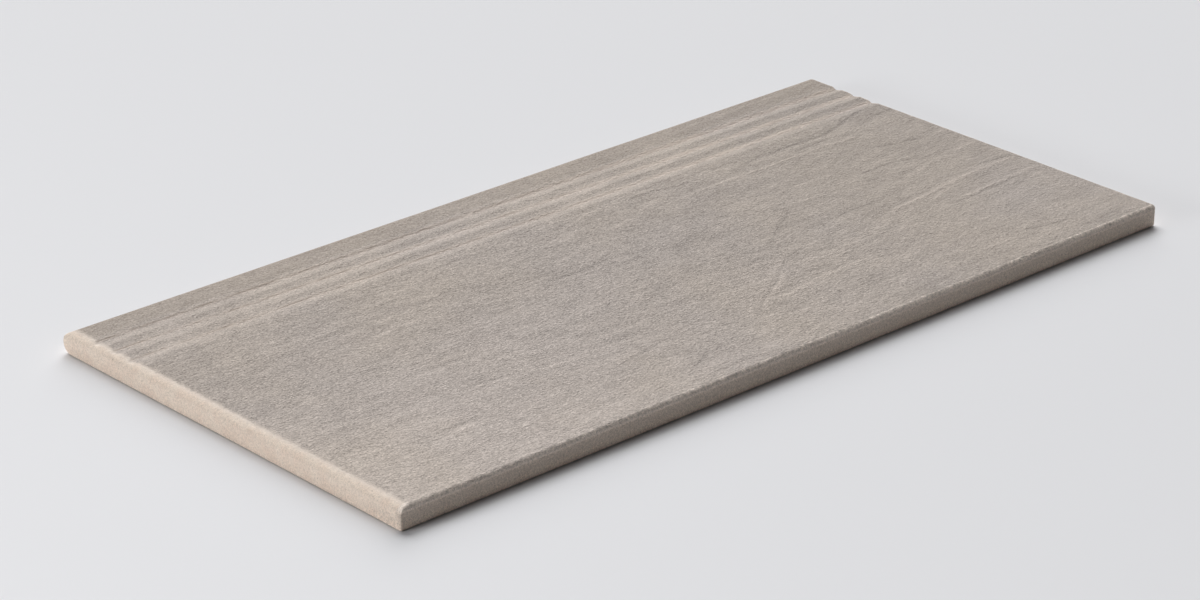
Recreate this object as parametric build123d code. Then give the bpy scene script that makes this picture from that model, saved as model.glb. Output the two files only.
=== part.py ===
from build123d import *
import os

# Pool stair nosing tile: one piece of fired porcelain stoneware.
# Frame: X along the tread (long side), +Y towards the rounded nose, +Z up,
# origin in the middle of the underside. Millimetres.

# ---- driving dimensions ----
LENGTH = 600.0          # along the stair nose
WIDTH = 300.0           # from the back butt edge to the nose
THICK = 13.5            # full thickness

NOSE_R = THICK / 2      # full bullnose along the nose edge

BACK_TOP_R = 3.0        # eased top arris of the back butt edge
BEVEL_W = 1.6           # bottom bevel of the back butt edge and of the exposed
BEVEL_H = 0.35          # end: depth into the underside, and height

END_ROUND_H = 4.2       # rounded exposed end (-X): height of the round
END_ROUND_W = 6.2       # rounded exposed end (-X): width of the round on the top
END_EDGE_R = 0.8        # soft edge all round the exposed end, nose included
BUTT_TOP_R = 0.8        # butted end (+X): eased top arris
BUTT_BOTTOM_R = 2.6     # butted end (+X): eased bottom arris
BUTT_CORNER_R = 1.2     # upright corner between the back edge and the butted end

# Three grip grooves that run the full length beside the nose. Each one has a
# wall on the nose side and a hollow floor that climbs away from it, level at
# the foot of the wall and steepest where it meets the land. They get deeper
# from the exposed end to the butted end. The land in front of the second and
# the third groove falls a little towards it.
GROOVE_DEPTH_EXPOSED = 0.85
GROOVE_DEPTH_BUTT = 1.6
GROOVE_WALL = 3.0       # plan width of the wall
GROOVE_WIDTH = 9.4      # wall and floor together
GROOVE_PITCH = 16.25
GROOVE_FIRST = 23.9     # nose-side lip of the first groove, from the nose tip
GROOVE_BELLY = 0.62     # share of the full depth halfway along the floor
LAND_FALL = 0.3

# ---- derived ----
hx, hy = LENGTH / 2, WIDTH / 2

OVER = 3.0

# ---- cross-section across the tread (Y, Z), without the grooves ----
with BuildSketch(Plane.YZ.offset(-hx)) as sk:
    with BuildLine():
        # underside, from the back edge to the start of the bullnose
        Line((-hy + BEVEL_W, 0), (hy - NOSE_R, 0))
        # full bullnose: a tangent arc through the tip
        ThreePointArc((hy - NOSE_R, 0), (hy, THICK / 2), (hy - NOSE_R, THICK))
        Line((hy - NOSE_R, THICK), (-hy + BACK_TOP_R, THICK))
        # eased top arris, upright back face, bottom bevel
        RadiusArc((-hy + BACK_TOP_R, THICK), (-hy, THICK - BACK_TOP_R), -BACK_TOP_R)
        Line((-hy, THICK - BACK_TOP_R), (-hy, BEVEL_H))
        Line((-hy, BEVEL_H), (-hy + BEVEL_W, 0))
    make_face()

slab = extrude(sk.sketch, amount=LENGTH, dir=(1, 0, 0))
end_loop = [e for e in slab.edges() if abs(e.center().X + hx) < 1e-4]
slab = fillet(end_loop, END_EDGE_R)


# ---- grooves: each waste bar is lofted between its two end profiles ----
def groove_profile(x, k):
    share = (x + hx) / LENGTH
    depth = GROOVE_DEPTH_EXPOSED + (GROOVE_DEPTH_BUTT - GROOVE_DEPTH_EXPOSED) * share
    lip = hy - GROOVE_FIRST - k * GROOVE_PITCH
    foot, end = lip - GROOVE_WALL, lip - GROOVE_WIDTH
    land = lip + GROOVE_PITCH - GROOVE_WIDTH
    mid = ((foot + end) / 2, THICK - GROOVE_BELLY * depth)
    with BuildSketch(Plane.YZ.offset(x)) as sk:
        with BuildLine():
            if k == 0:
                Line((lip, THICK + OVER), (lip, THICK))
                Line((lip, THICK), (foot, THICK - depth))
            else:
                Line((lip, THICK + OVER), (land, THICK + OVER))
                Line((land, THICK + OVER), (land, THICK))
                Line((land, THICK), (lip, THICK - LAND_FALL))
                Line((lip, THICK - LAND_FALL), (foot, THICK - depth))
            ThreePointArc((foot, THICK - depth), mid, (end, THICK))
            Line((end, THICK), (end, THICK + OVER))
            Line((end, THICK + OVER), (lip, THICK + OVER))
        make_face()
    return sk.sketch


for k in range(3):
    slab = slab - loft([groove_profile(-hx - OVER, k), groove_profile(hx + OVER, k)], ruled=True)

# ---- the two ends: each arris is a straight cut across the whole width ----


def across(points, centre, rx, rz, start):
    """Waste strip in the XZ plane: straight sides plus one concave quarter arc."""
    with BuildSketch(Plane.XZ.offset(-hy - OVER)) as sk:
        with BuildLine():
            EllipticalCenterArc(centre, rx, rz, start_angle=start, arc_size=90)
            Polyline(*points)
        make_face()
    return extrude(sk.sketch, amount=WIDTH + 2 * OVER, dir=(0, -1, 0))


# exposed end (-X): broad round on the top
end_x, end_z = -hx + END_ROUND_W, THICK - END_ROUND_H
exposed_top = across([(-hx, end_z), (-hx - OVER, end_z), (-hx - OVER, THICK + OVER),
                      (end_x, THICK + OVER), (end_x, THICK)],
                     (end_x, end_z), END_ROUND_W, END_ROUND_H, 90)
# exposed end: bottom bevel, cut by a wedge that runs on past both long edges
slope = BEVEL_H / BEVEL_W
with BuildSketch(Plane.XZ.offset(-hy - OVER)) as wedge:
    with BuildLine():
        Polyline((-hx - OVER, BEVEL_H + OVER * slope), (-hx + BEVEL_W + OVER, -OVER * slope),
                 (-hx - OVER, -OVER), (-hx - OVER, BEVEL_H + OVER * slope))
    make_face()
exposed_bottom = extrude(wedge.sketch, amount=WIDTH + 2 * OVER, dir=(0, -1, 0))
# butted end (+X): eased top and bottom arrises
bt_x, bt_z = hx - BUTT_TOP_R, THICK - BUTT_TOP_R
butt_top = across([(bt_x, THICK), (bt_x, THICK + OVER), (hx + OVER, THICK + OVER),
                   (hx + OVER, bt_z), (hx, bt_z)],
                  (bt_x, bt_z), BUTT_TOP_R, BUTT_TOP_R, 0)
bb_x, bb_z = hx - BUTT_BOTTOM_R, BUTT_BOTTOM_R
butt_bottom = across([(hx, bb_z), (hx + OVER, bb_z), (hx + OVER, -OVER),
                      (bb_x, -OVER), (bb_x, 0)],
                     (bb_x, bb_z), BUTT_BOTTOM_R, BUTT_BOTTOM_R, 270)


# ---- upright corner, eased in plan ----
def corner(side_x, side_y, r):
    cx, cy = side_x * (hx - r), side_y * (hy - r)
    with BuildSketch(Plane.XY.offset(-OVER)) as sk:
        with BuildLine():
            ThreePointArc((side_x * hx, cy),
                          (cx + side_x * r * 0.70710678, cy + side_y * r * 0.70710678),
                          (cx, side_y * hy))
            Polyline((cx, side_y * hy), (cx, side_y * (hy + OVER)),
                     (side_x * (hx + OVER), side_y * (hy + OVER)),
                     (side_x * (hx + OVER), cy), (side_x * hx, cy))
        make_face()
    return extrude(sk.sketch, amount=THICK + 2 * OVER, dir=(0, 0, 1))


tile = slab - exposed_top - exposed_bottom - butt_top - butt_bottom
tile = tile - corner(1, -1, BUTT_CORNER_R)

os.makedirs("parts", exist_ok=True)
solid = tile.solids()[0]
solid.label = "stair_nosing_tile"
export_step(solid, "parts/stair_nosing_tile.step")
bb = solid.bounding_box()
print("solids", len(tile.solids()), "valid", solid.is_valid, "volume mm3", round(solid.volume, 1))
print("box", bb.min, bb.max)
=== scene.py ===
import math
import bpy
import numpy as np
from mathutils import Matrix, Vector


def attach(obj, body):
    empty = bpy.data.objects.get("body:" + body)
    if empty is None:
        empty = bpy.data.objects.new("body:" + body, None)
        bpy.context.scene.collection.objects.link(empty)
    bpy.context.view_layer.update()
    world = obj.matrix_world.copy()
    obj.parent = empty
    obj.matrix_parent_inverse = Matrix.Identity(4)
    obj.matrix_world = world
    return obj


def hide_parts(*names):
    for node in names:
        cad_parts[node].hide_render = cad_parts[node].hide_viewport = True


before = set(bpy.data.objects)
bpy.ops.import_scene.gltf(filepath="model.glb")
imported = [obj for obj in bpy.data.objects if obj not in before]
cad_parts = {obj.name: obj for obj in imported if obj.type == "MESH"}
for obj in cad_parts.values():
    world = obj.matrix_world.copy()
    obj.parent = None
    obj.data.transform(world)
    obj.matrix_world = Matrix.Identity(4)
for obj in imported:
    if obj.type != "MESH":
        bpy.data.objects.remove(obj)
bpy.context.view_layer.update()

# Pool stair nosing tile. Lengths in this file are millimetres in the tile's
# own frame until a mesh is written, and metres from there on.
MM = 0.001
HX, HY, T = 300.0, 150.0, 13.5
NOSE_R = T / 2
BACK_TOP_R = 3.0
END_W, END_H, END_EDGE_R = 6.2, 4.2, 0.8
BEVEL_W, BEVEL_H = 1.6, 0.35        # bottom edge of the back and of the exposed end
BUTT_TOP_R, BUTT_BOTTOM_R, BUTT_CORNER_R = 0.8, 2.6, 1.2
GROOVES = (23.9, 40.15, 56.4)      # nose-side lips, measured from the nose tip
G_WALL, G_WIDTH, LAND_FALL = 3.0, 9.4, 0.3
G_EXPOSED, G_BUTT = 0.85, 1.6      # groove depth at the two ends


# ------------------------------------------------------------------ noise
def gradient_noise(x, y, seed):
    """Smooth 2-D gradient noise, about -0.7 to 0.7, the same on every run."""
    xi, yi = np.floor(x).astype(np.int64), np.floor(y).astype(np.int64)
    xf, yf = x - xi, y - yi
    u = xf * xf * xf * (xf * (xf * 6 - 15) + 10)
    v = yf * yf * yf * (yf * (yf * 6 - 15) + 10)

    def corner(i, j):
        h = ((xi + i) * 374761393 + (yi + j) * 668265263 + seed * 2147483647) & 0xFFFFFFFF
        h = ((h ^ (h >> 13)) * 1274126177) & 0xFFFFFFFF
        h = (h ^ (h >> 16)) & 0xFFFFFFFF
        a = h * (2 * math.pi / 4294967296.0)
        return np.cos(a) * (xf - i) + np.sin(a) * (yf - j)

    low = corner(0, 0) * (1 - u) + corner(1, 0) * u
    high = corner(0, 1) * (1 - u) + corner(1, 1) * u
    return low * (1 - v) + high * v


def fbm(x, y, seed, octaves=3, gain=0.5):
    total, amp = 0.0, 1.0
    for k in range(octaves):
        total = total + amp * gradient_noise(x * 2 ** k + 17.3 * k, y * 2 ** k - 9.1 * k, seed + k)
        amp *= gain
    return total


def smooth(t):
    t = np.clip(t, 0.0, 1.0)
    return t * t * (3 - 2 * t)


# ------------------------------------------------------- relief of the face
# Cleft lines of the stone-look face: strength, then points (X, Y) in mm from the
# corner between the exposed end and the back edge. Positive: a low ridge, also painted
# pale: partly print, partly painted light. Negative: a fine furrow, painted dark:
# partly print, partly painted shade.
STROKES = (
    (1.0, (388, 202.5), (410, 205.5), (430, 205), (480, 205), (520, 205), (550, 202.5)),
    (0.8, (302, 215), (320, 220), (333, 224), (345, 225.5)),
    (0.8, (367, 227.5), (383, 227), (397, 226)),
    (1.1, (473, 103), (493, 105), (513, 107), (533, 110), (560, 112.5), (597, 112.5)),
    (0.7, (500, 96), (517, 102), (533, 105)),
    (0.9, (520, 89), (547, 90), (567, 91.5), (597, 94)),
    (0.8, (577, 83), (593, 84)),
    (0.8, (517, 134), (533, 136.5), (547, 139)),
    (0.8, (572, 143), (587, 146), (598, 145)),
    (0.8, (319, 57), (336, 66), (350, 74), (361, 81)),
    (0.7, (333, 55), (353, 60), (370, 62.5), (387, 62), (405, 63.5)),
    (0.6, (392, 101.5), (405, 100.5), (411, 100)),
    (0.6, (377, 85), (390, 86)),
    (0.7, (120, 171), (133, 173), (147, 174.5), (167, 175)),
    (0.6, (200, 165), (217, 162.5), (222, 160)),
    (0.5, (253, 210.5), (267, 213)),
    (0.5, (267, 179), (283, 184), (297, 186)),
    (0.6, (320, 196.5), (337, 199), (353, 202.5), (367, 208), (383, 213)),
    (0.7, (58, 45), (77, 48), (90, 50), (100, 47.5)),
    (0.6, (123, 85), (143, 81.5)),
    (0.7, (160, 77), (180, 76), (200, 72.5)),
    (0.5, (33, 43), (53, 45)),
    (0.8, (437, 222), (455, 218)),
    (0.7, (517, 173.5), (530, 169)),
    (0.5, (167, 228), (182, 228.5)),
    (0.6, (477, 288), (500, 287), (533, 289), (567, 289)),
    (0.5, (177, 60), (193, 61)),
    (-0.6, (305, 50), (320, 58.5), (333, 65), (345, 73), (354, 80), (363, 87), (377, 94.5), (390, 99.5), (403, 102.5)),
    (-1.0, (463, 218), (477, 220), (490, 220), (517, 219), (533, 219), (547, 222), (560, 227.5), (573, 231.5), (584, 234)),
    (-0.6, (500, 211.5), (533, 212.5), (553, 208), (567, 202.5)),
    (-1.0, (562, 176.5), (578, 173)),
    (-0.7, (537, 185), (550, 179.5), (560, 176.5)),
    (-0.7, (500, 156.5), (520, 158), (533, 156.5), (550, 153)),
    (-0.9, (567, 118.5), (598, 116)),
    (-0.6, (380, 115), (393, 123), (407, 133), (420, 140), (430, 145)),
    (-0.8, (367, 225), (387, 224), (400, 220.5), (420, 219)),
    (-0.7, (247, 165), (267, 163.5), (287, 165), (307, 166)),
    (-0.6, (167, 190), (187, 191.5), (203, 196.5)),
    (-0.8, (157, 225.5), (173, 226.5), (187, 225.5)),
    (-0.7, (30, 225), (43, 228), (57, 229)),
    (-0.8, (117, 89), (133, 85.5), (141, 84.5)),
    (-0.6, (100, 121.5), (117, 120), (140, 118.5), (150, 116.5)),
    (-0.7, (67, 53), (87, 54.5), (107, 55)),
    (-0.7, (197, 51.5), (213, 54), (227, 56.5), (240, 59)),
    (-0.7, (223, 18), (237, 25), (253, 33)),
    (-0.6, (300, 13), (320, 18), (333, 17)),
    (-0.8, (510, 29.5), (527, 25), (547, 21.5)),
    (-0.6, (370, 73.5), (390, 70.5)),
    (-0.5, (400, 75), (413, 77.5), (433, 80), (443, 81.5), (463, 86.5)),
    (-0.8, (388, 167), (398, 165.5)),
    (-0.6, (280, 52.5), (290, 49)),
    (-0.5, (210, 224), (233, 225), (263, 221.5)),
    (-0.6, (507, 85.5), (533, 87), (567, 88)),
    (-0.5, (330, 108), (352, 104), (372, 105)),
    (-0.5, (60, 140), (84, 143), (110, 139)),
    (0.5, (70, 196), (92, 199), (118, 197)),
    (0.5, (430, 168), (452, 171), (478, 169)),
    (-0.5, (440, 118), (462, 121), (486, 119)),
    (0.5, (235, 120), (262, 123), (290, 121)),
    (-0.5, (40, 100), (62, 98), (80, 101)),
)


def stroke_fields(x, y):
    """Distance in mm to the nearest cleft line (up to 8) and its signed strength."""
    best = np.full(x.shape, 8.0)
    sign = np.zeros_like(x)
    for amp, *pts in STROKES:
        pts = np.array(pts, float) - (HX, HY)
        length = np.concatenate([[0], np.cumsum(np.hypot(*np.diff(pts, axis=0).T))])
        near = ((x > pts[:, 0].min() - 9) & (x < pts[:, 0].max() + 9)
                & (y > pts[:, 1].min() - 9) & (y < pts[:, 1].max() + 9))
        xs, ys = x[near], y[near]
        ys = ys + 0.9 * fbm(xs / 12, ys / 12, 91, 2)
        dist = np.full(xs.shape, 1e9)
        along = np.zeros_like(xs)
        for k in range(len(pts) - 1):
            a, d = pts[k], pts[k + 1] - pts[k]
            seg = float(np.hypot(*d))
            t = np.clip(((xs - a[0]) * d[0] + (ys - a[1]) * d[1]) / seg ** 2, 0, 1)
            here = np.hypot(xs - a[0] - t * d[0], ys - a[1] - t * d[1])
            along = np.where(here < dist, length[k] + t * seg, along)
            dist = np.minimum(dist, here)
        end = length[-1]
        taper = smooth(along / min(10.0, 0.4 * end) + 0.15) * smooth((end - along) / min(10.0, 0.4 * end) + 0.15)
        closer = dist < best[near]
        best[near] = np.where(closer, dist, best[near])
        sign[near] = np.where(closer, amp * taper, sign[near])
    return best, sign


def face_relief(x, y):
    """Height of the walking face in mm, before it is shifted below the CAD top."""
    right = smooth((x + 60) / 260)
    warp = 9.0 * fbm(x / 90, y / 70, 5, 2)
    # low steps with long ragged outlines, nearly along the tile
    u = (x * 0.985 + y * 0.17) / 52
    v = (y * 0.985 - x * 0.17 + warp) / 11
    step = np.tanh(5.0 * fbm(u, v, 11, 3, 0.5))
    cleft = 0.045 * (0.6 + 0.6 * right) * step
    broad = 0.10 * fbm(x / 130, y / 80, 3, 2)
    medium = 0.020 * fbm((x + 0.3 * y) / 11, y / 4.6, 21, 3, 0.6)
    fine = 0.010 * fbm(x / 4.0, y / 3.4, 31, 1)
    dist, strength = stroke_fields(x, y)
    line = 0.16 * strength * np.exp(-(dist / 1.7) ** 2)
    return broad + cleft + medium + fine + line


# ------------------------------------------------------ section of the tile
def section_curve():
    """Open curve up the back edge, over the face, round the nose. Each point:
    Y, Z, zone, fall below the face, share of the groove depth, pale colour (partly pale
    glaze, partly painted light on the shaded groove wall), painted shade line on the lip."""
    pts = []

    def add(y, z, zone, fall=0.0, deep=0.0, pale=0.0, lip=0.0):
        pts.append((y, z, zone, fall, deep, pale, lip))

    add(-HY + BEVEL_W, 0.0, "back")
    add(-HY + BEVEL_W * 0.55, BEVEL_H * 0.45, "back")
    add(-HY + BEVEL_W * 0.12, BEVEL_H * 0.88, "back")
    add(-HY, BEVEL_H + 0.15, "back")
    for z in np.linspace(BEVEL_H + 0.15, T - BACK_TOP_R, 7)[1:]:
        add(-HY, z, "back")
    for a in np.linspace(180, 90, 9)[1:]:
        r = math.radians(a)
        add(-HY + BACK_TOP_R + BACK_TOP_R * math.cos(r), T - BACK_TOP_R + BACK_TOP_R * math.sin(r), "arris")
    here = -HY + BACK_TOP_R
    for number, lip_at in enumerate(GROOVES[::-1]):
        lip = HY - lip_at
        start, foot = lip - G_WIDTH, lip - G_WALL
        n = max(3, int(round((start - here) / (1.6 if number == 0 else 1.3))))
        for y in np.linspace(here, start, n + 1)[1:]:
            fall = 0.0 if number == 0 else LAND_FALL * (start - y) / (start - here)
            add(y, T, "top", fall, pale=0.12 * smooth(1 - (y - here) / 2.0) if number else 0.0)
        for t, pale in ((0.13, 0.02), (0.3, 0.08), (0.5, 0.16), (0.7, 0.32), (0.86, 0.62), (1.0, 1.10)):
            add(start + (foot - start) * t, T, "top", 0.0, groove_depth(t), pale)
        fall = LAND_FALL if number < 2 else 0.0
        # on the wall the colour is palest: partly pale glaze, partly painted light against the wall's shade; line marks
        # painted shade along it
        for t, pale, line in ((0.25, 1.75, 0.0), (0.5, 1.85, 1.0), (0.78, 1.5, 0.15)):
            add(foot + G_WALL * t, T, "top", fall * t, 1 - t, pale, line)
        add(lip + 0.15, T, "top", fall, 0.0, 0.75, 0.0)
        add(lip + 1.1, T, "top", fall, 0.0, 0.3, 0.0)
        here = lip + 1.1
    stop = HY - NOSE_R
    n = int(round((stop - here) / 1.5))
    for y in np.linspace(here, stop, n + 1)[1:]:
        add(y, T, "top")
    for a in np.linspace(90, -90, 17)[1:]:
        r = math.radians(a)
        add(stop + NOSE_R * math.cos(r), NOSE_R + NOSE_R * math.sin(r), "nose")
    return pts


def groove_depth(t):
    """Hollow floor: steepest where it leaves the field, level at its foot."""
    return 1 - (1 - t) ** 1.4


def end_top(x):
    z = np.full_like(x, T)
    d = np.clip((x + HX) / END_W, 0, 1)
    z = np.where(d < 1, T - END_H + END_H * np.sqrt(np.clip(1 - (1 - d) ** 2, 0, 1)), z)
    d = np.clip((HX - x) / BUTT_TOP_R, 0, 1)
    return np.where(d < 1, T - BUTT_TOP_R + BUTT_TOP_R * np.sqrt(np.clip(1 - (1 - d) ** 2, 0, 1)), z)


def quarter(d, r):
    """How far a quarter round of radius r cuts in, d in from the edge."""
    d = np.clip(d / r, 0, 1)
    return r - r * np.sqrt(np.clip(1 - (1 - d) ** 2, 0, 1))


def blur(a, r):
    """Mean over a window of 2r + 1 rows and columns."""
    pad = np.pad(a, r, mode="edge")
    out = sum(pad[k:k + a.shape[0], :] for k in range(2 * r + 1)) / (2 * r + 1)
    return sum(out[:, k:k + a.shape[1]] for k in range(2 * r + 1)) / (2 * r + 1)


def build_tile():
    left = [0, .04, .15, .35, .65, 1.05, 1.6, 2.3, 3.1, 4.1, 5.2, 6.3, 7.5, 8.8]
    right = [0, .04, .14, .3, .5, .75, 1.2, 1.9, 2.8, 3.9, 5.2]
    mid = np.linspace(-HX + left[-1], HX - right[-1], 366)
    xs = np.concatenate([-HX + np.array(left[:-1]), mid, HX - np.array(right[:-1][::-1])])
    sec = section_curve()
    ys = np.array([p[0] for p in sec])
    zs = np.array([p[1] for p in sec])
    zone = np.array([p[2] for p in sec])
    fall, deep, pale, lip = (np.array([p[k] for p in sec]) for k in (3, 4, 5, 6))
    X, Y = np.meshgrid(xs, ys, indexing="ij")
    share = (X + HX) / (2 * HX)
    depth = G_EXPOSED + (G_BUTT - G_EXPOSED) * share
    Z = zs - fall - deep * depth

    # relief, faded out over the nose and the arris
    H = face_relief(X, Y)
    H = H - np.percentile(H, 99.9)
    H = np.minimum(H, 0) - 0.02
    # high points of the relief are painted lighter and low points darker in the material: painted light and shade
    crest_shading = H - blur(blur(H, 3), 3)
    crest_shading = np.clip(crest_shading / 0.03, -1.6, 1.6)
    stroke_dist, stroke_sign = stroke_fields(X, Y)
    on_top = (zone == "top") | (zone == "arris")
    quiet = smooth((Y + HY) / 4.0) * 0.75 + 0.25
    groove = deep * np.ones_like(X)
    weight = np.where(on_top, quiet * (1 - 0.55 * groove), 0)
    nose_w = np.clip((Z - NOSE_R) / NOSE_R, 0, 1) * (zone == "nose") * 0.8
    weight = np.where(zone == "nose", nose_w, weight)
    Zr = Z + H * weight
    # the worn, slightly uneven arris of the back edge
    uneven = 0.30 * fbm(X / 9, Y * 0 + 3, 41, 3, 0.6)
    arris = np.exp(-((Y + HY - 0.6) / 1.6) ** 2) * on_top
    wear = 0.1 + 0.35 * smooth((X + 120) / 300)
    Zr = Zr - np.clip(uneven + wear, 0, 1) * arris
    # flat faces are not perfectly flat either
    back = (zone == "back") & (zs > BEVEL_H)
    Yr = Y + np.where(back, 0.05 + 0.05 * fbm(X / 11, Z / 4, 51, 2), 0) * smooth(Z / 3)
    Zr = np.where(on_top | (zone == "nose"), Zr, Z)

    # soft edge all round the exposed end: the section shrinks towards it
    inset = quarter(X + HX, END_EDGE_R)
    turn = np.arctan2(zs - NOSE_R, ys - (HY - NOSE_R))
    on_nose = zone == "nose"
    Yr = Yr - np.where(on_nose, inset * np.cos(turn), 0)
    Zr = Zr - np.where(on_nose, inset * np.sin(turn), 0)
    Yr = np.where(~on_nose, np.maximum(Yr, -HY + inset), Yr)

    # the ends: the round and the arrises cut straight across everything
    top_z = end_top(X) - 0.03 * (fbm(X * 0 + 7, Y / 17, 61, 2) + 0.7) * (X < -HX + END_W)
    k = 0.22
    upper = Z > T * 0.45
    blend = np.clip(0.5 + 0.5 * (top_z - Zr) / k, 0, 1)
    soft_min = top_z * (1 - blend) + Zr * blend - k * blend * (1 - blend)
    near_end = X < -HX + END_W + 2
    Zr = np.where(upper & near_end, soft_min, Zr)
    Zr = np.where(upper & ~near_end, np.minimum(Zr, top_z), Zr)
    low_z = np.clip(BEVEL_H * (1 - (X + HX) / BEVEL_W), 0, None) + quarter(HX - X, BUTT_BOTTOM_R)
    Zr = np.where(~upper, np.maximum(Zr, low_z), Zr)
    Yr = np.maximum(Yr, -HY + quarter(HX - X, BUTT_CORNER_R))

    # how far the printed glaze is ground away: positive where the body is bare
    edge = 6.9 - 1.3 * groove + 0.6 * fbm(X * 0, Y / 7, 71, 2) + 0.35 * fbm(X / 3, Y / 3, 72, 2)
    bare = np.where(Z > T - 3, edge - (X + HX), 0)
    reach = 0.85 - 0.64 * smooth((X + 260) / 330) + 0.22 * fbm(X / 16, Y * 0, 81, 2)
    bare = np.where(zone == "arris", np.maximum(bare, (T - reach - Z) * 1.5), bare)
    bare = np.where(zone == "back", 6.0, bare)
    bare = np.where(zone == "nose", np.maximum(edge - (X + HX), (2.2 - Z) * 1.5), bare)
    bare = np.maximum(bare, (0.55 - (HX - X)) * 3)
    bare = np.clip(bare, -6, 6)

    ni, nj = X.shape
    verts = np.stack([X, Yr, Zr], -1).reshape(-1, 3)
    base = np.arange(ni * nj).reshape(ni, nj)
    quads = np.stack([base[:-1, :-1], base[1:, :-1], base[1:, 1:], base[:-1, 1:]], -1).reshape(-1, 4)
    bare = bare.reshape(-1)

    # underside: strips between the two long bottom edges
    rows = 6
    y0, y1 = Yr[:, 0], Yr[:, -1]
    z0, z1 = Zr[:, 0], Zr[:, -1]
    extra = []
    under = [base[:, -1]]
    n = len(verts)
    for r in range(1, rows):
        t = r / rows
        extra.append(np.stack([xs, y1 * (1 - t) + y0 * t, z1 * (1 - t) + z0 * t], -1))
        under.append(n + np.arange(ni))
        n += ni
    under.append(base[:, 0])
    verts = np.concatenate([verts] + extra)
    bare = np.concatenate([bare, np.full(len(verts) - len(bare), 6.0)])
    strips = []
    for a, b in zip(under[:-1], under[1:]):
        strips.append(np.stack([a[:-1], a[1:], b[1:], b[:-1]], -1))
    quads = np.concatenate([quads] + strips)
    faces = quads.tolist()
    # end faces
    ring0 = list(base[0]) + [int(u[0]) for u in under[1:-1]]
    ring1 = list(base[-1]) + [int(u[-1]) for u in under[1:-1]]
    faces.append([int(i) for i in ring0])
    faces.append([int(i) for i in ring1[::-1]])

    me = bpy.data.meshes.new("stair_nosing_tile_face")
    me.from_pydata((verts * MM).tolist(), [], faces)
    rows_all = np.ones((ni, 1))
    fade = (0.72 + 0.28 * smooth((xs + HX) / 260))[:, None]
    # towards the butted end the pale colour moves off the floor and up the wall: partly pale glaze, partly painted
    # light that lifts the shaded wall
    far = smooth((xs + 60) / 260)[:, None]
    near = 1 - smooth((xs + HX - 40) / 220)[:, None]
    fade = fade * np.where(pale > 1.05, 1 + 0.66 * far, np.where(pale < 0.7, 1 - 0.5 * far, 1.0))
    # the lands across the groove band are made lighter near both ends
    groove_band_lift = (0.22 * near + 0.22 * far) * smooth((Y - 85) / 8) * smooth((126 - Y) / 6) * np.where(zone == "top", 1.0, 0.0)
    # the lip line is painted shade; it fades towards the butted end
    fade_lip = (1 - 0.75 * smooth((xs + 60) / 200))[:, None]
    for name, values in (("bare", bare), ("groove_glaze_and_light", (fade * pale + groove_band_lift * (pale < 0.5)).reshape(-1)),
                         ("lip", (fade_lip * lip).reshape(-1)),
                         ("cut", (((zone == "back") | (zone == "arris")) * np.ones_like(X)).reshape(-1)),
                         ("stroke", stroke_sign.reshape(-1)), ("stroke_at", stroke_dist.reshape(-1)),
                         ("crest_shading", (crest_shading * on_top * (1 - 0.7 * groove)).reshape(-1))):
        data = np.zeros(len(verts), np.float32)
        data[:len(values)] = values
        attr = me.attributes.new(name, "FLOAT", "POINT")
        attr.data.foreach_set("value", data)
    me.validate()
    me.update()
    ob = bpy.data.objects.new("stoneware_tile", me)
    bpy.context.scene.collection.objects.link(ob)
    import bmesh
    bm = bmesh.new()
    bm.from_mesh(me)
    caps = [f for f in bm.faces if len(f.verts) > 4]
    bmesh.ops.triangulate(bm, faces=caps, quad_method="BEAUTY", ngon_method="BEAUTY")
    bmesh.ops.recalc_face_normals(bm, faces=bm.faces)
    for f in bm.faces:
        f.smooth = True
    for e in bm.edges:
        e.smooth = e.calc_face_angle(0.0) < math.radians(38)
    bm.to_mesh(me)
    bm.free()
    me.update()
    return ob


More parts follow.
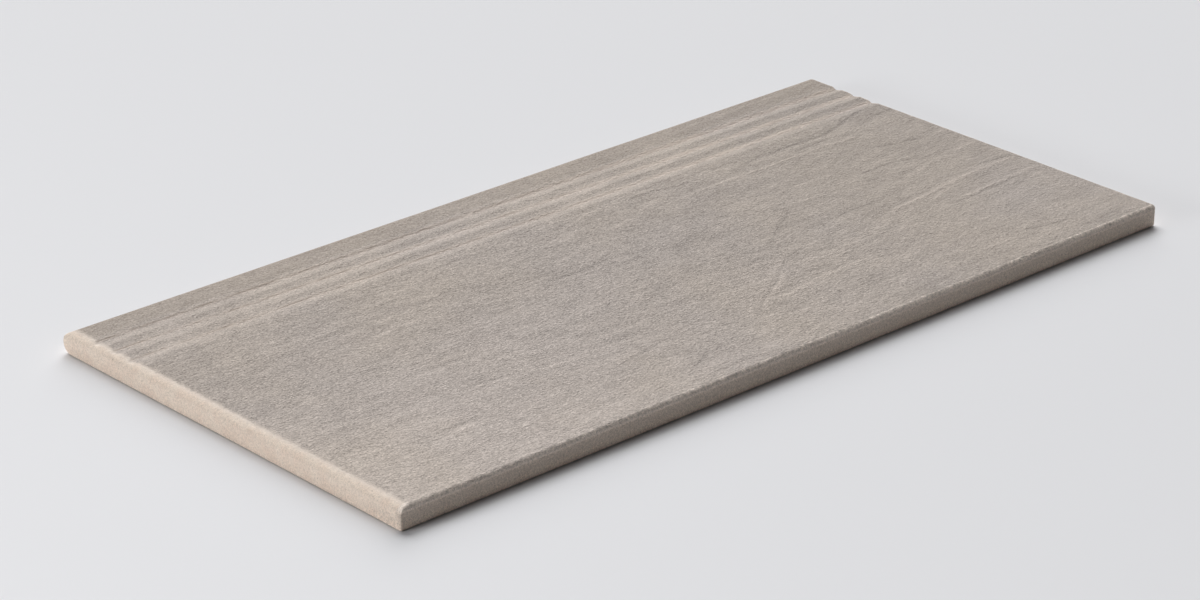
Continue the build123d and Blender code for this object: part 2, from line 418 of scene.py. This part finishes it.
# --------------------------------------------------------------- materials
class Graph:
    """Small helper to write node trees in a few lines."""

    def __init__(self, name):
        self.mat = bpy.data.materials.new(name)
        self.mat.use_nodes = True
        self.nt = self.mat.node_tree
        self.nt.nodes.clear()
        self.out = self.nt.nodes.new("ShaderNodeOutputMaterial")

    def node(self, kind, **props):
        n = self.nt.nodes.new(kind)
        for k, v in props.items():
            setattr(n, k, v)
        return n

    def link(self, a, b):
        self.nt.links.new(a, b)

    def put(self, sock, value):
        if isinstance(value, bpy.types.NodeSocket):
            self.link(value, sock)
        else:
            sock.default_value = value

    def math(self, op, a, b=0.0, c=None, clamp=False):
        n = self.node("ShaderNodeMath", operation=op, use_clamp=clamp)
        self.put(n.inputs[0], a)
        self.put(n.inputs[1], b)
        if c is not None:
            self.put(n.inputs[2], c)
        return n.outputs[0]

    def noise(self, coord, scale, detail=2.0, rough=0.5, distortion=0.0, kind="FBM", lac=2.0):
        n = self.node("ShaderNodeTexNoise", noise_dimensions="3D", noise_type=kind)
        self.link(coord, n.inputs["Vector"])
        n.inputs["Scale"].default_value = scale
        n.inputs["Detail"].default_value = detail
        n.inputs["Roughness"].default_value = rough
        n.inputs["Lacunarity"].default_value = lac
        n.inputs["Distortion"].default_value = distortion
        return n.outputs["Fac"]

    def ramp(self, fac, lo, hi, a=0.0, b=1.0, smoothstep=True):
        n = self.node("ShaderNodeMapRange", interpolation_type="SMOOTHSTEP" if smoothstep else "LINEAR")
        n.clamp = True
        self.link(fac, n.inputs["Value"])
        n.inputs["From Min"].default_value = lo
        n.inputs["From Max"].default_value = hi
        n.inputs["To Min"].default_value = a
        n.inputs["To Max"].default_value = b
        return n.outputs["Result"]

    def mix(self, fac, a, b, blend="MIX"):
        n = self.node("ShaderNodeMix", data_type="RGBA", blend_type=blend)
        self.put(n.inputs["Factor"], fac)
        for sock, val in ((n.inputs[6], a), (n.inputs[7], b)):
            if isinstance(val, bpy.types.NodeSocket):
                self.link(val, sock)
            else:
                sock.default_value = (*val, 1.0) if len(val) == 3 else val
        return n.outputs[2]

    def mapping(self, coord, scale=(1, 1, 1), rot=(0, 0, 0), loc=(0, 0, 0)):
        n = self.node("ShaderNodeMapping")
        self.link(coord, n.inputs["Vector"])
        n.inputs["Scale"].default_value = scale
        n.inputs["Rotation"].default_value = rot
        n.inputs["Location"].default_value = loc
        return n.outputs["Vector"]


def tile_material():
    g = Graph("printed_stoneware")
    obj = g.node("ShaderNodeTexCoord").outputs["Object"]
    mm = g.mapping(obj, (1000, 1000, 1000))
    # slightly diagonal grain of the printed face
    grain = g.mapping(mm, (0.62, 1.0, 1.0), (0, 0, math.radians(12)))
    veins = g.mapping(mm, (0.30, 1.0, 1.0), (0, 0, math.radians(9)), (13, 5, 0))

    patches = g.noise(mm, 1 / 140, 3.0, 0.55)
    mottle = g.noise(veins, 1 / 15, 4.0, 0.6, 0.6)
    medium = g.noise(grain, 1 / 4.2, 2.0, 0.6)
    long = g.mapping(mm, (0.20, 1.0, 1.0), (0, 0, math.radians(8)), (3, 9, 0))
    streaks = g.noise(long, 1 / 1.9, 2.0, 0.6)
    clouds = g.noise(veins, 1 / 6.5, 2.0, 0.5)
    broad = g.noise(g.mapping(mm, (0.45, 1.0, 1.0), (0, 0, math.radians(10)), (90, 20, 0)), 1 / 24, 2.0, 0.5)
    # low cleft steps: contours of a stretched noise, strong only here and there
    plane = g.noise(g.mapping(mm, (0.24, 1.0, 1.0), (0, 0, math.radians(11)), (40, 3, 0)), 1 / 15, 3.0, 0.55, 0.4)
    where = g.ramp(g.noise(g.mapping(mm, (0.6, 1.0, 1.0), (0, 0, math.radians(11)), (7, 70, 0)), 1 / 28, 2.0, 0.5), 0.40, 0.62)
    steps = g.math("ADD", g.ramp(plane, 0.385, 0.405, 0, 1, False), g.ramp(plane, 0.455, 0.475, 0, 1, False))
    steps = g.math("ADD", steps, g.ramp(plane, 0.525, 0.545, 0, 1, False))
    steps = g.math("ADD", steps, g.ramp(plane, 0.600, 0.620, 0, 1, False))
    fine = g.noise(grain, 1 / 1.25, 1.5, 0.6)
    grit = g.noise(grain, 1 / 0.72, 1.0, 0.6)
    speck = g.noise(mm, 1 / 0.95, 0.0, 0.5)
    worm = g.noise(grain, 1 / 2.6, 1.0, 0.5, 0.8, "RIDGED_MULTIFRACTAL")

    def blob(x, y, rx, ry):
        """Soft round area of the face, 1 in the middle, 0 outside."""
        c = g.mapping(mm, (1 / rx, 1 / ry, 0.0), (0, 0, 0), (-x / rx, -y / ry, 0))
        n = g.node("ShaderNodeVectorMath", operation="LENGTH")
        g.link(c, n.inputs[0])
        return g.ramp(n.outputs["Value"], 1.0, 0.0)

    lilac = (0.402, 0.354, 0.323)
    warm = (0.417, 0.362, 0.317)
    tone = g.math("ADD", patches, g.math("MULTIPLY", blob(210, 60, 260, 130), 0.16))
    tone = g.math("SUBTRACT", tone, g.math("MULTIPLY", blob(-20, -45, 260, 90), 0.10))
    colour = g.mix(g.ramp(tone, 0.34, 0.68), lilac, warm)
    colour = g.mix(g.ramp(mottle, 0.42, 0.66, 0, 0.22), colour, (0.300, 0.258, 0.232))
    # paler towards the exposed back corner, deeper towards the butted nose corner
    level = g.math("MULTIPLY_ADD", blob(-330, -190, 480, 270), 0.26, 1.03)
    level = g.math("SUBTRACT", level, g.math("MULTIPLY", blob(260, 30, 260, 120), 0.07))
    level = g.math("SUBTRACT", level, g.math("MULTIPLY", blob(300, 112, 300, 62), 0.13))

    groove_glaze_and_light = g.node("ShaderNodeAttribute", attribute_name="groove_glaze_and_light").outputs["Fac"]
    lip = g.node("ShaderNodeAttribute", attribute_name="lip").outputs["Fac"]
    crest_shading = g.node("ShaderNodeAttribute", attribute_name="crest_shading").outputs["Fac"]
    still = g.math("MULTIPLY_ADD", groove_glaze_and_light, -0.30, 1.0)
    still = g.math("SUBTRACT", still, g.math("MULTIPLY", blob(320, -20, 360, 280), 0.52))
    value = g.math("MULTIPLY_ADD", g.math("SUBTRACT", medium, 0.5), 0.12, 0.0)
    value = g.math("MULTIPLY_ADD", g.math("SUBTRACT", streaks, 0.5), 0.34, value)
    value = g.math("MULTIPLY_ADD", g.math("SUBTRACT", fine, 0.5), 0.66, value)
    value = g.math("MULTIPLY_ADD", g.math("SUBTRACT", grit, 0.5), 1.32, value)
    value = g.math("MULTIPLY_ADD", g.math("SUBTRACT", clouds, 0.5), 0.34, value)
    value = g.math("MULTIPLY_ADD", g.math("SUBTRACT", broad, 0.5), 0.27, value)
    value = g.math("MULTIPLY_ADD", g.ramp(speck, 0.62, 0.80), 0.38, value)
    value = g.math("MULTIPLY_ADD", g.ramp(speck, 0.36, 0.20), -0.40, value)
    value = g.math("MULTIPLY_ADD", value, still, level)
    # painted light on the relief's crests, painted shade in its hollows
    value = g.math("MULTIPLY_ADD", crest_shading, 0.030, value)
    # drawn cleft lines, ragged and broken: partly print, partly painted light on the ridges and painted shade in the
    # furrows
    at = g.node("ShaderNodeAttribute", attribute_name="stroke_at").outputs["Fac"]
    strength = g.node("ShaderNodeAttribute", attribute_name="stroke").outputs["Fac"]
    ragged = g.noise(grain, 1 / 3.4, 2.0, 0.6)
    wide = g.math("ADD", at, g.math("MULTIPLY_ADD", ragged, 2.6, -1.1))
    line = g.math("EXPONENT", g.math("MULTIPLY", g.math("POWER", g.math("MULTIPLY", wide, 0.85), 2.0), -1.0))
    line = g.math("MULTIPLY", line, g.math("MULTIPLY", strength, g.ramp(ragged, 0.25, 0.6, 0.25, 1.0)))
    value = g.math("MULTIPLY_ADD", line, 0.30, value)
    # the grooves are painted paler: partly a paler glaze, partly painted light that lifts the shaded nose-side wall
    value = g.math("MULTIPLY_ADD", groove_glaze_and_light, 0.36, value)
    colour = g.mix(1.0, colour, value, "MULTIPLY")
    # a broken brownish line along the nose-side wall of each groove: painted shade where the wall faces away from the
    # light
    streak = g.noise(g.mapping(mm, (1 / 14, 1 / 5, 1.0)), 1.0, 2.0, 0.6)
    lip_shade_line = g.math("MULTIPLY", lip, g.ramp(streak, 0.36, 0.60, 0.05, 0.60))
    colour = g.mix(lip_shade_line, colour, (0.215, 0.150, 0.105))

    # browner and a little darker over the nose land and the nose
    across_y = g.node("ShaderNodeSeparateXYZ")
    g.link(mm, across_y.inputs[0])
    colour = g.mix(g.ramp(across_y.outputs["Y"], 126.0, 131.0, 0.0, 0.30), colour, (0.360, 0.300, 0.245))
    colour = g.mix(g.ramp(across_y.outputs["Y"], 139.0, 147.0, 0.0, 0.26), colour, (0.330, 0.262, 0.205))

    # bare fired body
    bare_attr = g.node("ShaderNodeAttribute", attribute_name="bare").outputs["Fac"]
    rag = g.noise(mm, 1 / 3.0, 3.0, 0.75)
    bare = g.math("ADD", bare_attr, g.math("MULTIPLY_ADD", rag, 6.4, -3.2))
    bare = g.ramp(bare, -1.7, 1.7)
    b_mid = g.noise(mm, 1 / 9.0, 3.0, 0.6)
    b_fine = g.noise(mm, 1 / 1.5, 3.0, 0.65)
    b_grit = g.noise(mm, 1 / 0.7, 1.0, 0.6)
    b_spot = g.noise(mm, 1 / 1.2, 0.0, 0.5)
    body = g.mix(g.ramp(b_mid, 0.35, 0.65), (0.815, 0.675, 0.565), (0.840, 0.719, 0.609))
    cut = g.node("ShaderNodeAttribute", attribute_name="cut").outputs["Fac"]
    # the back edge is greyer over its upper half, up to the arris: partly its greyer colour, partly painted shade that
    # evens out the light falling off towards its foot
    place = g.node("ShaderNodeSeparateXYZ")
    g.link(mm, place.inputs[0])
    upper = g.math("MULTIPLY", g.ramp(place.outputs["Z"], 1.5, 7.0, 0.0, 0.82), g.ramp(place.outputs["Z"], 11.9, 9.4))
    body = g.mix(g.math("MULTIPLY", cut, upper), body, (0.575, 0.490, 0.420))
    # paler again towards the arris: painted light where the edge turns up into the lamps' light
    body = g.mix(g.math("MULTIPLY", cut, g.ramp(place.outputs["Z"], 9.6, 11.6, 0.0, 0.9)), body, (0.860, 0.758, 0.675))
    coarse = g.math("MULTIPLY_ADD", cut, 0.75, 1.0)
    b_val = g.math("MULTIPLY_ADD", g.math("SUBTRACT", b_fine, 0.5), 0.55, 0.0)
    b_val = g.math("MULTIPLY_ADD", g.math("SUBTRACT", b_grit, 0.5), 0.55, b_val)
    b_val = g.math("MULTIPLY_ADD", b_val, coarse, 1.0)
    body = g.mix(1.0, body, b_val, "MULTIPLY")
    body = g.mix(g.ramp(b_spot, 0.22, 0.16, 0, 0.5), body, (0.36, 0.27, 0.21))
    # painted shade over the upper round just beside the glaze edge, toning down the bright rim the lamps put there
    smear_shade = g.math("MULTIPLY", g.ramp(bare_attr, 5.2, 0.2, 0.0, 0.62), g.math("MULTIPLY_ADD", cut, -0.9, 1.0))
    body = g.mix(smear_shade, body, (0.430, 0.368, 0.318))
    final = g.mix(bare, colour, body)

    # relief too fine for the mesh
    height_face = g.math("ADD", g.math("MULTIPLY", fine, 0.80), g.math("MULTIPLY", worm, 0.26))
    height_face = g.math("ADD", height_face, g.math("MULTIPLY", streaks, 0.20))
    height_face = g.math("ADD", height_face, g.math("MULTIPLY", line, 0.20))
    height_face = g.math("ADD", height_face, g.math("MULTIPLY", g.math("MULTIPLY", steps, where), 0.10))
    height_body = g.math("MULTIPLY_ADD", b_fine, 0.16, 0.55)
    hmix = g.node("ShaderNodeMix", data_type="FLOAT")
    g.link(bare, hmix.inputs["Factor"])
    g.link(height_face, hmix.inputs[2])
    g.link(height_body, hmix.inputs[3])
    bump = g.node("ShaderNodeBump")
    bump.inputs["Strength"].default_value = 1.0
    bump.inputs["Distance"].default_value = 0.0009
    g.link(hmix.outputs[0], bump.inputs["Height"])

    rough_face = g.ramp(fine, 0.3, 0.7, 0.86, 0.74, False)
    rmix = g.node("ShaderNodeMix", data_type="FLOAT")
    g.link(bare, rmix.inputs["Factor"])
    g.link(rough_face, rmix.inputs[2])
    g.link(g.ramp(b_fine, 0.3, 0.7, 0.62, 0.50, False), rmix.inputs[3])

    s = g.node("ShaderNodeBsdfPrincipled")
    g.link(final, s.inputs["Base Color"])
    g.link(rmix.outputs[0], s.inputs["Roughness"])
    g.link(bump.outputs["Normal"], s.inputs["Normal"])
    s.inputs["IOR"].default_value = 1.5
    s.inputs["Specular IOR Level"].default_value = 0.18
    g.link(s.outputs["BSDF"], g.out.inputs["Surface"])
    return g.mat


def floor_material():
    g = Graph("studio_floor")
    s = g.node("ShaderNodeBsdfPrincipled")
    s.inputs["Base Color"].default_value = (0.804, 0.806, 0.826, 1)
    s.inputs["Roughness"].default_value = 0.9
    s.inputs["Specular IOR Level"].default_value = 0.0
    g.link(s.outputs["BSDF"], g.out.inputs["Surface"])
    return g.mat


# ------------------------------------------------------------------- build
tile = build_tile()
tile.data.materials.append(tile_material())
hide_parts("stair_nosing_tile")
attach(tile, "root")

fm = bpy.data.meshes.new("studio_floor")
S = 9.0
steps = 6
grid = [(-S + 2 * S * i / steps, -S + 2 * S * j / steps, -0.00004) for j in range(steps + 1) for i in range(steps + 1)]
cells = [(j * (steps + 1) + i, j * (steps + 1) + i + 1, (j + 1) * (steps + 1) + i + 1, (j + 1) * (steps + 1) + i)
         for j in range(steps) for i in range(steps)]
fm.from_pydata(grid, [], cells)
floor = bpy.data.objects.new("studio_floor", fm)
bpy.context.scene.collection.objects.link(floor)
fm.materials.append(floor_material())


# ------------------------------------------------------------------ lights
def area(name, loc, target, size, power, colour=(1, 1, 1)):
    data = bpy.data.lights.new(name, "AREA")
    data.shape = "RECTANGLE"
    data.size, data.size_y = size
    data.energy = power
    data.color = colour
    ob = bpy.data.objects.new(name, data)
    ob.location = loc
    ob.rotation_euler = (Vector(target) - Vector(loc)).to_track_quat("-Z", "Y").to_euler()
    bpy.context.scene.collection.objects.link(ob)
    return ob


def from_direction(azimuth, elevation, dist):
    """Azimuth from +Y towards +X, degrees."""
    a, e = math.radians(azimuth), math.radians(elevation)
    return (dist * math.cos(e) * math.sin(a), dist * math.cos(e) * math.cos(a), dist * math.sin(e))


# broad, far softboxes behind the tile, so that the back butt edge is lit by
# little more than the floor in front of it, and one low box near the rounded end
area("back_right_box", from_direction(45, 22, 30.0), (0, 0, 0), (17.5, 14.0), 5350)
area("back_high_box", from_direction(20, 50, 30.0), (0, 0, 0), (17.5, 14.0), 4750)
area("right_high_box", from_direction(60, 50, 30.0), (0, 0, 0), (17.5, 14.0), 1750)
area("back_top_box", from_direction(20, 65, 30.0), (0, 0, 0), (17.5, 14.0), 900)
area("right_front_fill", from_direction(150, 12, 30.0), (0, 0, 0), (17.5, 14.0), 250)
area("left_low_box", (-2.2, 0.3, 0.6), (-0.4, -0.2, 0), (0.9, 0.5), 18.5)

world = bpy.data.worlds.new("studio")
world.use_nodes = True
bg = world.node_tree.nodes["Background"]
bg.inputs["Color"].default_value = (1.0, 1.0, 1.0, 1)
bg.inputs["Strength"].default_value = 0.01
bpy.context.scene.world = world
bpy.context.scene.view_settings.view_transform = "Standard"
bpy.context.scene.view_settings.look = "None"

# ------------------------------------------------------------------ camera
cam_data = bpy.data.cameras.new("camera")
cam_data.sensor_fit = "HORIZONTAL"
cam_data.sensor_width = 36.0
cam_data.lens = 36.0 * 3829.02 / 1200
cam_data.clip_start = 0.05
cam_data.clip_end = 60
cam = bpy.data.objects.new("camera", cam_data)
cam.location = (-1.40952, -1.51373, 0.91626)
cam.rotation_euler = (math.radians(90 - 24.0992), 0, math.radians(-42.4776))
bpy.context.scene.collection.objects.link(cam)
bpy.context.scene.camera = cam
